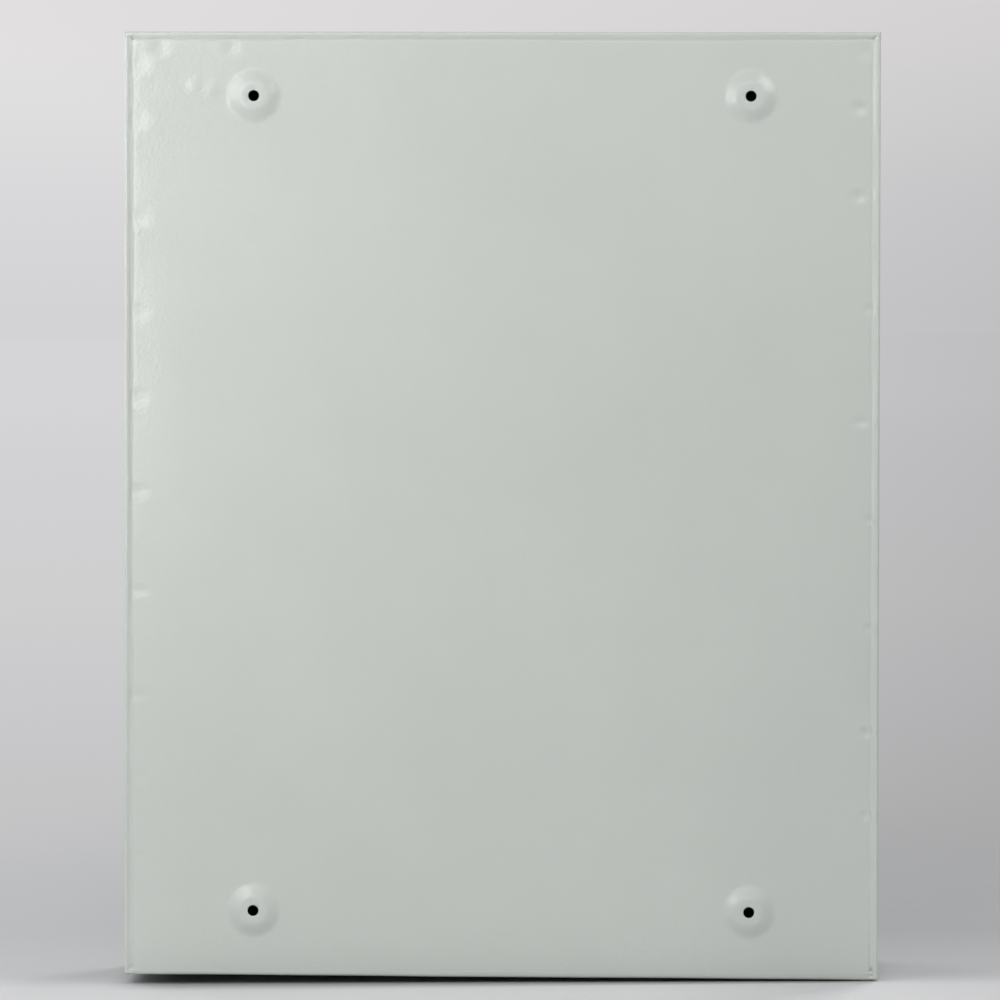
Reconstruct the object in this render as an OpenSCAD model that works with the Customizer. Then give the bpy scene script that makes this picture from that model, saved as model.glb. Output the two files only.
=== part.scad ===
// Residential load center: a steel wall box with a hinged door, a dead front, a main breaker,
// plug-on branch breakers, bus bars, neutral bars and a ground bar.
// Millimetres. +X is to the right seen from the front, +Y goes into the wall, +Z is up.
// The origin is the centre of the four wall holes, in the plane of the wall.
// Depths are counted from the wall, so a point nearer the door has a smaller y.

/* [Box] */
// Width of the box
box_w = 362; // [358:1:380]
// Height of the box
box_h = 452.4; // [445:0.1:500]
// Depth of the box, from its rear rim to its front flanges
box_d = 95; // [93:1:110]
// Thickness of the sheet steel
sheet_t = 1.2; // [1:0.1:1.4]
// How far the rear rim stands proud of the back panel
rim_proud = 0.4; // [0.2:0.1:0.6]

/* [Wall holes] */
// Hole spacing across the box
hole_dx = 238; // [200:1:260]
// Hole spacing up the box
hole_dz = 391; // [360:1:400]
// Radius of a wall hole
hole_r = 2.6; // [2.2:0.1:4]
// Height of the raised boss round a wall hole
boss_h = 2.6; // [2:0.1:4]
// Radius of the boss at the back panel
boss_base_r = 12.4; // [11:0.1:14]
// Radius of the boss at the wall
boss_tip_r = 6.8; // [6:0.1:8]

/* [Door] */
// Width of the door opening in the trim
door_open_w = 252; // [248:1:262]
// Height of the door opening in the trim
door_open_h = 336; // [330:1:350]
// Gap round the closed door
door_gap = 1.4; // [1.2:0.1:2]
// Distance from the trim's face to the dead front's face
recess_d = 20; // [18.8:0.1:21]

/* [Breakers] */
// Height of one breaker space
pitch = 25.4; // [25:0.1:26]
// Top of the branch breaker columns
rows_top = 30; // [28:1:34]
// Lean of a handle from upright, in degrees
handle_lean = 18; // [14:1:20]

/* [Hidden] */
$fn = 48;
fit = 0.05;
paint = [0.76, 0.79, 0.765];
zinc = [0.72, 0.73, 0.74];
tin = [0.8, 0.8, 0.78];
copper = [0.72, 0.45, 0.3];
phenolic = [0.09, 0.09, 0.1];
moulding = [0.16, 0.16, 0.18];
steel = [0.62, 0.63, 0.65];

// Columns and rows of breakers: [circuit name, side (-1 left, 1 right), first row, poles]
breakers = [
    ["1", -1, 0, 1], ["3", -1, 1, 1], ["5_7", -1, 2, 2], ["9", -1, 4, 1], ["11", -1, 5, 1],
    ["2_4", 1, 0, 2], ["6", 1, 2, 1], ["8", 1, 3, 1]
];
n_rows = 6;
// Rows of the right column that have no breaker
blank_rows = [4, 5];

// Rear rim: the wall's sheet folds in, then steps down by a joggle to a flange behind the panel
bend_r = 0.7;
bend_steps = 5;
half_t = sheet_t / 2;
joggle = sheet_t + rim_proud;
crest_u = half_t + 1.5 * bend_r;
joggle_u = crest_u + joggle + half_t * (sqrt(2) - 1);
panel_inset = joggle_u + 0.15;
rear_flange_u = 17;
front_flange_u = 18;
rim_zone = 3.2;

// Planes across the depth, from the wall to the door
panel_y = -boss_h;
rim_y = panel_y + rim_proud;
inside_y = panel_y - sheet_t;
front_y = rim_y - box_d;
trim_y = front_y - sheet_t;
dead_y = trim_y + recess_d;
face_y = dead_y - 1.6;
deck_y = face_y + 15.2;
case_rear_y = face_y + 48.2;
foot_y = face_y + 57.2;
bus_front_y = face_y + 56.2;
bus_t = 3;
bus_rear_y = bus_front_y + bus_t;
pan_front_y = bus_rear_y + 6.8;
pan_rear_y = pan_front_y + sheet_t;
rail_tip_y = pan_front_y - 14.8;

half_w = box_w / 2;
half_h = box_h / 2;

// Branch breaker, measured outward from the centre line of the box
case_x0 = 2.2;
case_x1 = 78;
face_x0 = 7;
face_x1 = 55;
handle_x = 31;
foot_x = 56;
rail_x = 71.2;
lug_x = 69;
pivot_y = face_y + 6.7;
barrel_r = 7.5;
barrel_w = 9.8;
paddle_r = 17;

// Main breaker
main_half_w = 38;
main_z0 = 38;
main_z1 = 128;
main_handle_z = 81;
main_pivot_y = face_y + 8.2;
main_barrel_r = 9;
main_paddle_r = 18.6;
main_handle_w = 24;
main_pole_x = 20;
main_lug_y = case_rear_y - 11;
main_bolt_z = 48;

// Bus bars
bus_x = 20;
bus_w = 20;
blade_tip_y = face_y + 35.2;
finger_y = bus_front_y - 6;
finger_t = 2.5;
bus_top_z = 60;
bus_low_z = rows_top - n_rows * pitch + 6;

// Neutral and ground bars
neutral_x = 112;
neutral_z0 = -142;
neutral_z1 = 70;
neutral_front_y = face_y + 33.2;
neutral_rear_y = neutral_front_y + 12;
strap_z = -136;
strap_t = 1.5;
wire_hole_r = 2.3;
wire_pitch = 12.7;
ground_z = -181;
ground_rear_y = inside_y - 10;
ground_front_y = ground_rear_y - 10;
set_screw_r = 2.5;
lug_wire_r = 5.6;

// Interior mounting studs: [x, z]
stud_at = [[-52, 147], [52, 147], [-52, -139], [52, -139], [neutral_x, ground_z]];
stud_r = 2.5;

// Trim and dead front
lip_d = 8;
lip_gap = 0.3;
trim_screw_at = [for (x = [-1, 1], z = [-1, 0, 1]) [x * (half_w - 10), z * (half_h - 35.5)]];
tray_margin = 1;
tray_flange = 11;

// Knockouts: [position along the wall, inner radius, outer radius], at mid depth
knockout_y = rim_y - box_d / 2;
shear = 0.25;
end_knockout_list = [[-138, 11.1, 14.1], [-88, 14.1, 17.2], [0, 21.8, 30.4], [88, 14.1, 17.2],
                     [138, 11.1, 14.1]];
side_knockout_list = [[-176, 11.1, 14.1], [-128, 14.1, 17.2], [91, 11.1, 14.1]];

// Hinges, latch
hinge_x = -door_open_w / 2 + door_gap / 2;
hinge_y = trim_y - 3;
hinge_z = [-110, 110];
knuckle_r = 2.8;
pin_r = 1.5;
knuckle_half = 8.7;
hinge_half = 25;
door_x = door_open_w / 2 - door_gap;
door_z = door_open_h / 2 - door_gap;
door_return = 7;
latch_travel = 6;

// ---------- shapes ----------

function unit(v) = v / norm(v);
function left_of(v) = [-v.y, v.x];
function spin(v, a) = [v.x * cos(a) - v.y * sin(a), v.x * sin(a) + v.y * cos(a)];

// One side of the bend at b, on a centre line a-b-c; side is the offset to its left
function bend_side(a, b, c, r, side) =
    let (u = unit(b - a), v = unit(c - b), s = sign(cross(u, v)), turn = acos(u * v),
         centre = b - u * r * tan(turn / 2) + left_of(u) * s * r)
    [for (k = [0 : bend_steps]) centre + spin(-left_of(u) * s, s * turn * k / bend_steps) * (r - s * side)];

function sheet_side(path, r, side) =
    let (n = len(path), u = unit(path[1] - path[0]), v = unit(path[n - 1] - path[n - 2]))
    concat([path[0] + left_of(u) * side],
           [for (i = [1 : n - 2]) each bend_side(path[i - 1], path[i], path[i + 1], r, side)],
           [path[n - 1] + left_of(v) * side]);

// Outline of a bent sheet of thickness t whose centre line is path
function sheet_outline(path, r, t) =
    let (a = sheet_side(path, r, t / 2), b = sheet_side(path, r, -t / 2))
    concat(a, [for (i = [len(b) - 1 : -1 : 0]) b[i]]);

// Block between two opposite corners
module slab(lo, hi) {
    translate(lo) cube(hi - lo);
}

module rod_x(r, x0, x1, y, z) {
    translate([x0, y, z]) rotate([0, 90, 0]) cylinder(h = x1 - x0, r = r);
}

module rod_y(r, y0, y1, x, z) {
    translate([x, y0, z]) rotate([-90, 0, 0]) cylinder(h = y1 - y0, r = r);
}

module rod_z(r, z0, z1, x, y) {
    translate([x, y, z0]) cylinder(h = z1 - z0, r = r);
}

// A drawing in (y, z) carried along X
module along_x(x0, x1) {
    translate([x0, 0, 0]) rotate([90, 0, 90]) linear_extrude(x1 - x0) children();
}

// A drawing in (x, z) carried along Y
module along_y(y0, y1) {
    translate([0, y1, 0]) rotate([90, 0, 0]) linear_extrude(y1 - y0) children();
}

module rounded_rect(w, h, r) {
    square([w - 2 * r, h], center = true);
    square([w, h - 2 * r], center = true);
    for (x = [-1, 1], z = [-1, 1]) translate([x * (w / 2 - r), z * (h / 2 - r)]) circle(r);
}

module both_sides() {
    children();
    mirror([1, 0, 0]) children();
}

module top_and_bottom() {
    children();
    mirror([0, 0, 1]) children();
}

// ---------- box ----------

// Wall section: u goes in from the outer face, v goes from the rim towards the door
wall_path = [[front_flange_u, box_d - half_t], [half_t, box_d - half_t], [half_t, half_t], [crest_u, half_t],
             [crest_u + joggle, half_t + joggle], [rear_flange_u, half_t + joggle]];
wall_section = sheet_outline(wall_path, bend_r, sheet_t);

module at_wall_holes() {
    for (x = [-1, 1], z = [-1, 1]) translate([x * hole_dx / 2, 0, z * hole_dz / 2]) children();
}

module boss(inset, y0) {
    translate([0, y0, 0]) rotate([-90, 0, 0])
        cylinder(h = boss_h, r1 = boss_base_r - inset, r2 = boss_tip_r - inset);
}

module back_panel() color(paint) difference() {
    union() {
        slab([panel_inset - half_w, inside_y, panel_inset - half_h],
             [half_w - panel_inset, panel_y, half_h - panel_inset]);
        at_wall_holes() boss(0, panel_y);
    }
    at_wall_holes() {
        boss(0.5, inside_y);
        rod_y(hole_r, inside_y - 1, 1, 0, 0);
    }
}

module knockout_hole(r) {
    cylinder(h = 3 * sheet_t, r = r, center = true);
}

// Two slugs, a disc inside a ring, each held by two thin ties across its shear line
module knockout_slugs(r_in, r_out) {
    t = sheet_t;
    difference() {
        union() {
            cylinder(h = t, r = r_out - shear, center = true);
            intersection() {
                cylinder(h = t, r = r_out, center = true);
                cube([2 * r_out + 2, 1.6, t], center = true);
            }
        }
        cylinder(h = 2 * t, r = r_in, center = true);
    }
    cylinder(h = t, r = r_in - shear, center = true);
    intersection() {
        difference() {
            cylinder(h = t, r = r_in, center = true);
            cylinder(h = 2 * t, r = r_in - shear, center = true);
        }
        rotate(90) cube([2 * r_in + 2, 1.6, t], center = true);
    }
}

// Puts a drawing made flat in XY onto the left side wall or the top end wall
module on_side(z) {
    translate([half_t - half_w, knockout_y, z]) rotate([0, 90, 0]) children();
}

module on_end(x) {
    translate([x, knockout_y, half_h - half_t]) children();
}

module side_wall() color(paint) difference() {
    translate([0, 0, fit + sheet_t - half_h]) linear_extrude(2 * (half_h - sheet_t - fit))
        polygon([for (p = wall_section) [p.x - half_w, rim_y - p.y]]);
    top_and_bottom() {
        slab([-half_w - 1, rim_y - rim_zone, half_h - joggle_u - 0.3], [-half_w + 40, rim_y + 1, half_h]);
        slab([-half_w + joggle_u + 0.2, rim_y - rim_zone, half_h - rear_flange_u - 0.4],
             [-half_w + 40, rim_y + 1, half_h]);
        slab([-half_w + sheet_t, front_y - 1, half_h - front_flange_u - 0.3],
             [-half_w + 40, front_y + 3, half_h]);
    }
    for (k = side_knockout_list) on_side(k[0]) knockout_hole(k[2]);
    for (p = trim_screw_at) rod_y(2, front_y - 1, front_y + 5, -abs(p.x), p.y);
}

module end_wall() color(paint) difference() {
    union() {
        along_x(-half_w, half_w) polygon([for (p = wall_section) [rim_y - p.y, half_h - p.x]]);
        both_sides() slab([half_w - 2 * sheet_t - fit, rim_y - 88, half_h - 14],
                          [half_w - sheet_t - fit, rim_y - 8, half_h - half_t]);
    }
    both_sides() {
        slab([half_w - joggle_u - 0.2, rim_y - rim_zone, half_h - 40], [half_w + 1, rim_y + 1, half_h - joggle_u - 0.1]);
        slab([half_w - sheet_t - 2 * fit, front_y - 1, half_h - 40], [half_w + 1, front_y + 3, half_h - sheet_t]);
    }
    for (k = end_knockout_list) on_end(k[0]) knockout_hole(k[2]);
}

module side_knockouts() color(paint) both_sides()
    for (k = side_knockout_list) on_side(k[0]) knockout_slugs(k[1], k[2]);

module end_knockouts() color(paint) top_and_bottom()
    for (k = end_knockout_list) on_end(k[0]) knockout_slugs(k[1], k[2]);

// ---------- interior ----------

// Fastener with its head towards the door: head face at y, shank going in
module screw(x, y, z, head_r, head_h, shank_r, shank_l, slot = 0.9) {
    difference() {
        union() {
            rod_y(head_r, y, y + head_h, x, z);
            rod_y(shank_r, y + head_h, y + head_h + shank_l, x, z);
        }
        slab([x - head_r - 1, y - 1, z - slot / 2], [x + head_r + 1, y + head_h * 0.45, z + slot / 2]);
    }
}

// Socket set screw
module set_screw(x, y, z, r, l) {
    difference() {
        rod_y(r, y, y + l, x, z);
        translate([x, y - 1, z]) rotate([-90, 0, 0]) cylinder(h = 4.5, r = r * 0.55, $fn = 6);
    }
}

module nut(x, y, z) {
    difference() {
        translate([x, y, z]) rotate([-90, 0, 0]) cylinder(h = 4, r = 4.6, $fn = 6);
        rod_y(stud_r + fit, y - 1, y + 5, x, z);
    }
}

module interior_studs() color(steel)
    for (p = stud_at) rod_y(stud_r, inside_y - 8, inside_y, p.x, p.y);

module interior_nuts() color(zinc)
    for (i = [0 : 3]) nut(stud_at[i].x, inside_y - sheet_t - 4, stud_at[i].y);

// Channel whose edges are the breaker rails, on four feet
module interior_pan() color(zinc) difference() {
    union() {
        slab([-rail_x, pan_front_y, -132], [rail_x, pan_rear_y, 140]);
        both_sides() {
            slab([rail_x - sheet_t, rail_tip_y, rows_top - n_rows * pitch], [rail_x, pan_rear_y, rows_top + 1]);
            for (f = [[140, 1], [-132, -1]]) {
                z0 = f[0];
                z1 = f[0] + f[1] * 15;
                leg = f[0] - f[1] * sheet_t;
                slab([40, pan_front_y, min(z0, leg)], [64, inside_y, max(z0, leg)]);
                slab([40, inside_y - sheet_t, min(leg, z1)], [64, inside_y, max(leg, z1)]);
            }
        }
    }
    for (i = [0 : 3]) rod_y(stud_r + 0.2, inside_y - 3, inside_y + 1, stud_at[i].x, stud_at[i].y);
    both_sides() for (z = [-100, -50, 0]) slab([38, pan_front_y - 1, z - 12], [60, pan_rear_y + 1, z + 12]);
}

module bus_insulator() color(moulding) difference() {
    union() {
        slab([-36, bus_rear_y, rows_top - n_rows * pitch - 4], [36, pan_front_y, 132]);
        slab([-36, bus_front_y, bus_top_z + 4], [36, bus_rear_y + 1, 130]);
        slab([-4, bus_front_y - 1, bus_low_z - 6], [4, bus_rear_y + 1, 36]);
        both_sides() slab([bus_x + bus_w / 2 + 1, bus_front_y - 2, bus_low_z - 6],
                          [36, bus_rear_y + 1, rows_top + 4]);
    }
    both_sides() rod_y(3 + fit, bus_front_y - 1, pan_front_y - 2, main_pole_x, main_bolt_z);
    both_sides() for (z = [-110, -60, -10, 75, 120]) rod_y(3, bus_rear_y - 5, bus_rear_y + 3, 32, z);
}

function row_z(row) = rows_top - pitch * (row + 0.5);

// The bar on the right; rows gives those whose stab it feeds
module bus_bar(rows) difference() {
    union() {
        slab([bus_x - bus_w / 2, bus_front_y, bus_low_z], [bus_x + bus_w / 2, bus_rear_y, bus_top_z]);
        for (r = rows) translate([0, 0, row_z(r)]) {
            slab([14, finger_y, -8], [28, bus_front_y + 1, 8]);
            slab([-16, finger_y, -8], [28, finger_y + finger_t, 8]);
            slab([-14, blade_tip_y, -1.3], [14, finger_y + 1, 1.3]);
        }
    }
    rod_y(3 + fit, bus_front_y - 1, bus_rear_y + 1, main_pole_x, main_bolt_z);
}

module bus_bar_a() color(tin) mirror([1, 0, 0]) bus_bar([0, 2, 4]);

module bus_bar_b() color(tin) bus_bar([1, 3, 5]);

module bus_bolts() color(steel) both_sides()
    screw(main_pole_x, bus_front_y - 15, main_bolt_z, 5, 4, 3, 17);

// Line of wire holes along a bar, centred on a stretch from z0 up
function wire_z(z0, n) = [for (i = [0 : n - 1]) z0 + wire_pitch * i];
neutral_wire_z = wire_z(-122, 15);
ground_wire_x = wire_z(-31.75, 6);

module neutral_bar() color(tin) difference() {
    slab([neutral_x - 6, neutral_front_y, neutral_z0], [neutral_x + 6, neutral_rear_y, neutral_z1]);
    for (z = neutral_wire_z) {
        rod_x(wire_hole_r, neutral_x - 7, neutral_x + 7, neutral_front_y + 8, z);
        rod_y(set_screw_r + fit, neutral_front_y - 1, neutral_front_y + 8, neutral_x, z);
    }
    for (z = [strap_z, 64]) rod_y(2 + fit, neutral_front_y - 1, neutral_front_y + 9, neutral_x, z);
}

module neutral_cross_strap() color(tin) difference() {
    slab([-neutral_x - 6, neutral_front_y - strap_t, strap_z - 6], [neutral_x + 6, neutral_front_y, strap_z + 6]);
    both_sides() rod_y(2.2, neutral_front_y - 3, neutral_front_y + 1, neutral_x, strap_z);
}

// Lug for the service neutral, bolted to the top of the left bar
module neutral_main_lug() color(tin) difference() {
    union() {
        slab([-neutral_x - 12, neutral_front_y - 10, 73], [-neutral_x + 12, neutral_rear_y, 97]);
        slab([-neutral_x - 6, neutral_front_y - strap_t - 1, 59], [-neutral_x + 6, neutral_front_y, 74]);
    }
    rod_z(lug_wire_r, 72, 98, -neutral_x, neutral_front_y + 1.5);
    rod_y(4.6 + fit, neutral_front_y - 11, neutral_front_y, -neutral_x, 85);
    rod_y(2.2, neutral_front_y - 4, neutral_front_y + 1, -neutral_x, 64);
}

module neutral_screws() color(steel) {
    both_sides() {
        for (z = neutral_wire_z) screw(neutral_x, neutral_front_y - 2, z, set_screw_r, 1.9, set_screw_r, 5.2, 0.8);
        screw(neutral_x, neutral_front_y - strap_t - 2.6, strap_z, 4.2, 2.6, 2, 8);
    }
    screw(-neutral_x, neutral_front_y - strap_t - 3.6, 64, 4.2, 2.6, 2, 9);
    set_screw(-neutral_x, neutral_front_y - 13, 85, 4.6, 9);
}

module neutral_insulators() color(moulding) both_sides() for (z = [-115, 45]) {
    slab([neutral_x - 9, neutral_rear_y, z - 9], [neutral_x + 9, inside_y, z + 9]);
    for (x = [-9, 6.1]) slab([neutral_x + x, neutral_rear_y - 4, z - 9], [neutral_x + x + 2.9, neutral_rear_y + 1, z + 9]);
}

module ground_bar() color(tin) difference() {
    union() {
        slab([-52, ground_front_y, ground_z - 5], [52, ground_rear_y, ground_z + 5]);
        both_sides() slab([40, ground_rear_y - 1, ground_z - 5], [50, inside_y, ground_z + 5]);
    }
    for (x = ground_wire_x) {
        rod_z(wire_hole_r, ground_z - 6, ground_z + 6, x, ground_front_y + 6.4);
        rod_y(set_screw_r + fit, ground_front_y - 1, ground_front_y + 6.4, x, ground_z);
    }
    both_sides() rod_y(2 + fit, ground_front_y - 1, ground_front_y + 15, 45, ground_z);
}

module ground_bar_screws() color(steel) {
    for (x = ground_wire_x) screw(x, ground_front_y - 2, ground_z, set_screw_r, 1.9, set_screw_r, 3.9, 0.8);
    both_sides() screw(45, ground_front_y - 2.6, ground_z, 4.2, 2.6, 2, 14);
}

// Ties the right neutral bar to the box
module bonding_strap() color(copper) difference() {
    union() {
        slab([neutral_x - 4, neutral_rear_y, ground_z + 10], [neutral_x + 4, neutral_rear_y + 1, -128]);
        slab([neutral_x - 4, neutral_rear_y, ground_z + 10], [neutral_x + 4, inside_y, ground_z + 11]);
        slab([neutral_x - 7, inside_y - 1, ground_z - 7], [neutral_x + 7, inside_y, ground_z + 11]);
    }
    rod_y(stud_r + 0.2, inside_y - 3, inside_y + 1, neutral_x, ground_z);
}

module bonding_nut() color([0.1, 0.5, 0.25]) nut(neutral_x, inside_y - 5, ground_z);

// ---------- breakers ----------

module at_poles(poles) {
    for (i = [0 : poles - 1]) translate([0, 0, (i - (poles - 1) / 2) * pitch]) children();
}

// Puts a breaker made for the right column at its own side and rows
module place(b) {
    translate([0, 0, row_z(b[2] + (b[3] - 1) / 2)]) mirror([b[1] < 0 ? 1 : 0, 0, 0]) children();
}

module breaker_case(poles) color(phenolic) {
    half = poles * pitch / 2 - 0.3;
    difference() {
        union() {
            slab([case_x0, deck_y, -half], [case_x1, case_rear_y, half]);
            slab([foot_x, deck_y, -half], [case_x1, foot_y, half]);
            slab([face_x0 + 0.5, face_y, 0.4 - half], [face_x1 - 0.5, deck_y + 1, half - 0.4]);
        }
        at_poles(poles) {
            rod_z(barrel_r + 0.4, -barrel_w / 2 - 0.3, barrel_w / 2 + 0.3, handle_x, pivot_y);
            slab([handle_x - 7.1, face_y - 1, -barrel_w / 2 - 0.3], [handle_x + 7.1, pivot_y - 3.5, barrel_w / 2 + 0.3]);
            rod_z(2 + fit, -7.2, 7.2, handle_x, pivot_y);
            slab([case_x0 - 1, blade_tip_y - 2, -3.4], [17, case_rear_y + 1, 3.4]);
            slab([62, deck_y + 5, -5.2], [case_x1 + 1, deck_y + 19, 5.2]);
            rod_y(3.2, deck_y - 1, deck_y + 6, lug_x, 0);
            rod_y(4.4, deck_y - 1, deck_y + 3, lug_x, 0);
        }
        slab([rail_x - 2, rail_tip_y - 1, -half - 1], [rail_x + 0.8, foot_y + 1, half + 1]);
    }
}

// Handle section, upright: a tapered blade with a round tip
module paddle(reach, root, tip) {
    polygon([[-root, 0], [-tip, tip - reach], [tip, tip - reach], [root, 0]]);
    translate([0, tip - reach]) circle(tip);
}

module breaker_handle(poles) color(phenolic) {
    translate([handle_x, pivot_y, 0]) rotate([0, 0, -handle_lean]) {
        at_poles(poles) {
            rod_z(barrel_r, -barrel_w / 2, barrel_w / 2, 0, 0);
            rod_z(2, -6.9, 6.9, 0, 0);
            translate([0, 0, -4.4]) linear_extrude(8.8) paddle(paddle_r, 3.3, 2.3);
        }
        if (poles > 1) slab([-1.9, 3.4 - paddle_r, -pitch / 2], [1.9, 8 - paddle_r, pitch / 2]);
    }
}

module breaker_line_jaws() color(copper) for (b = breakers) place(b) at_poles(b[3]) {
    for (s = [-1, 1]) slab([3.2, blade_tip_y - 1.2, s > 0 ? 1.35 : -2.6], [13.6, case_rear_y - 1.5, s > 0 ? 2.6 : -1.35]);
    slab([3.2, blade_tip_y - 1.9, -2.6], [13.6, blade_tip_y - 0.7, 2.6]);
}

module breaker_load_lugs() color(tin) for (b = breakers) place(b) at_poles(b[3]) difference() {
    slab([62.4, deck_y + 5.4, -4.8], [76, deck_y + 18.6, 4.8]);
    rod_x(3, 62, 77, deck_y + 13, 0);
    rod_y(2.5 + fit, deck_y + 4, deck_y + 12, lug_x, 0);
}

module breaker_load_screws() color(steel) for (b = breakers) place(b) at_poles(b[3])
    screw(lug_x, deck_y + 0.4, 0, 4, 2.4, 2.5, 7.4, 1);

module main_breaker_case() color(phenolic) difference() {
    union() {
        slab([-main_half_w, deck_y, main_z0], [main_half_w, bus_front_y, main_z1]);
        slab([-25, face_y, 58], [25, deck_y + 1, 104]);
    }
    rod_x(main_barrel_r + 0.4, -main_handle_w / 2 - 0.4, main_handle_w / 2 + 0.4, main_pivot_y, main_handle_z);
    slab([-main_handle_w / 2 - 0.4, face_y - 1, main_handle_z - 8.6],
         [main_handle_w / 2 + 0.4, main_pivot_y - 4, main_handle_z + 8.6]);
    rod_x(2.5 + fit, -15, 15, main_pivot_y, main_handle_z);
    both_sides() {
        slab([main_pole_x - 10, main_lug_y - 11.5, 111], [main_pole_x + 10, main_lug_y + 11.5, main_z1 + 1]);
        rod_y(5.4, deck_y - 1, main_lug_y, main_pole_x, 120);
        rod_y(5.6, deck_y - 1, bus_front_y - 11, main_pole_x, main_bolt_z);
        rod_y(3 + fit, deck_y - 1, bus_front_y + 1, main_pole_x, main_bolt_z);
    }
    for (x = [-31, 31], z = [64, 98]) rod_y(2, deck_y - 1, deck_y + 4, x, z);
}

module main_breaker_handle() color(phenolic)
    translate([0, main_pivot_y, main_handle_z]) rotate([-handle_lean, 0, 0]) {
        rod_x(main_barrel_r, -main_handle_w / 2, main_handle_w / 2, 0, 0);
        rod_x(2.5, -14.6, 14.6, 0, 0);
        along_x(-10.5, 10.5) rotate(-90) paddle(main_paddle_r, 4.4, 3);
    }

module main_lugs() color(tin) both_sides() difference() {
    slab([main_pole_x - 9.5, main_lug_y - 11, 111.5], [main_pole_x + 9.5, main_lug_y + 11, 134]);
    rod_z(lug_wire_r, 111, 135, main_pole_x, main_lug_y + 2);
    rod_y(4.6 + fit, main_lug_y - 12, main_lug_y, main_pole_x, 120);
}

module main_lug_screws() color(steel) both_sides()
    set_screw(main_pole_x, main_lug_y - 13, 120, 4.6, 9);

// ---------- front ----------

module front_trim() color(paint) difference() {
    slab([-half_w - lip_gap - sheet_t, trim_y, -half_h - lip_gap - sheet_t],
         [half_w + lip_gap + sheet_t, front_y + lip_d, half_h + lip_gap + sheet_t]);
    slab([-half_w - lip_gap, front_y, -half_h - lip_gap], [half_w + lip_gap, front_y + lip_d + 1, half_h + lip_gap]);
    along_y(trim_y - 1, front_y + 1) rounded_rect(door_open_w, door_open_h, 3);
    for (p = trim_screw_at) rod_y(2.3, trim_y - 1, front_y + 1, p.x, p.y);
}

module trim_screws() color(steel) for (p = trim_screw_at) screw(p.x, trim_y - 2.2, p.y, 4.6, 2.2, 1.95, 12, 1.1);

tray_w = door_open_w + 2 * tray_margin;
tray_h = door_open_h + 2 * tray_margin;
rivet_at = [for (x = [-1, 1], z = [-135, -60, 60, 135]) [x * (tray_w / 2 + 6.5), z]];
window_x0 = face_x0 - 0.4;
window_x1 = face_x1 + 0.4;
window_z0 = rows_top - n_rows * pitch - 0.3;

// Shield with a window for each breaker column and one for the main
module dead_front() color(paint) difference() {
    union() {
        slab([-tray_w / 2 - sheet_t, front_y, -tray_h / 2 - sheet_t],
             [tray_w / 2 + sheet_t, dead_y + sheet_t, tray_h / 2 + sheet_t]);
        slab([-tray_w / 2 - tray_flange, front_y, -tray_h / 2 - sheet_t],
             [tray_w / 2 + tray_flange, front_y + sheet_t, tray_h / 2 + sheet_t]);
    }
    slab([-tray_w / 2, front_y - 1, -tray_h / 2], [tray_w / 2, dead_y, tray_h / 2]);
    both_sides() slab([window_x0, dead_y - 1, window_z0], [window_x1, dead_y + 3, rows_top + 0.3]);
    slab([-25.6, dead_y - 1, 57.4], [25.6, dead_y + 3, 104.6]);
    slab([door_open_w / 2, front_y - 1, -10], [door_open_w / 2 + 8, front_y + 6, 10]);
    for (p = rivet_at) rod_y(1.65, front_y - 1, front_y + 3, p.x, p.y);
}

module dead_front_rivets() color(steel) for (p = rivet_at) {
    rod_y(1.6, front_y, front_y + sheet_t, p.x, p.y);
    rod_y(3, front_y + sheet_t, front_y + sheet_t + 1, p.x, p.y);
}

// Snap-in plates over the spaces that have no breaker
module filler_plates() color(moulding) for (r = blank_rows) translate([0, 0, row_z(r)]) difference() {
    union() {
        slab([window_x0 + 0.2, dead_y - 0.8, -pitch / 2 + 0.3], [window_x1 - 0.2, dead_y + 2.2, pitch / 2 - 0.3]);
        for (x = [window_x0 - 1, window_x1 - 1]) slab([x, dead_y + sheet_t + 0.1, -5], [x + 2, dead_y + 2.2, 5]);
    }
    slab([window_x0 + 2, dead_y + 0.6, -pitch / 2 + 2], [window_x1 - 2, dead_y + 3, pitch / 2 - 2]);
}

emboss_lo = [-108, -150];
emboss_hi = [84, 150];

module door() color(paint) difference() {
    union() {
        along_y(trim_y, trim_y + door_return) rounded_rect(2 * door_x, 2 * door_z, 2.6);
        slab([emboss_lo.x, trim_y - 1, emboss_lo.y], [emboss_hi.x, trim_y + 1, emboss_hi.y]);
    }
    along_y(trim_y + sheet_t, trim_y + door_return + 1) rounded_rect(2 * (door_x - sheet_t), 2 * (door_z - sheet_t), 1.4);
    slab([emboss_lo.x + 1, trim_y + sheet_t - 1, emboss_lo.y + 1], [emboss_hi.x - 1, trim_y + 3, emboss_hi.y - 1]);
    slab([96, trim_y - 1, -5.2], [118, trim_y + 2, 5.2]);
    slab([door_x - 3, trim_y + sheet_t, -8.4], [door_x + 1, trim_y + 5.6, 8.4]);
}

module knuckle(z0, z1) {
    difference() {
        rod_z(knuckle_r, z0, z1, hinge_x, hinge_y);
        rod_z(pin_r + fit, z0 - 1, z1 + 1, hinge_x, hinge_y);
    }
}

// Leaf on the trim, with the outer knuckles
module trim_hinge_leaves() color(steel) for (z = hinge_z) translate([0, 0, z]) {
    top_and_bottom() knuckle(knuckle_half + 0.3, hinge_half);
    difference() {
        slab([hinge_x - 17, trim_y - 1, -hinge_half], [hinge_x - 0.9, trim_y, hinge_half]);
        slab([hinge_x - 3.4, trim_y - 2, -knuckle_half - 0.3], [hinge_x, trim_y + 1, knuckle_half + 0.3]);
        rod_z(knuckle_r - 0.6, -hinge_half - 1, hinge_half + 1, hinge_x, hinge_y);
    }
}

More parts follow.
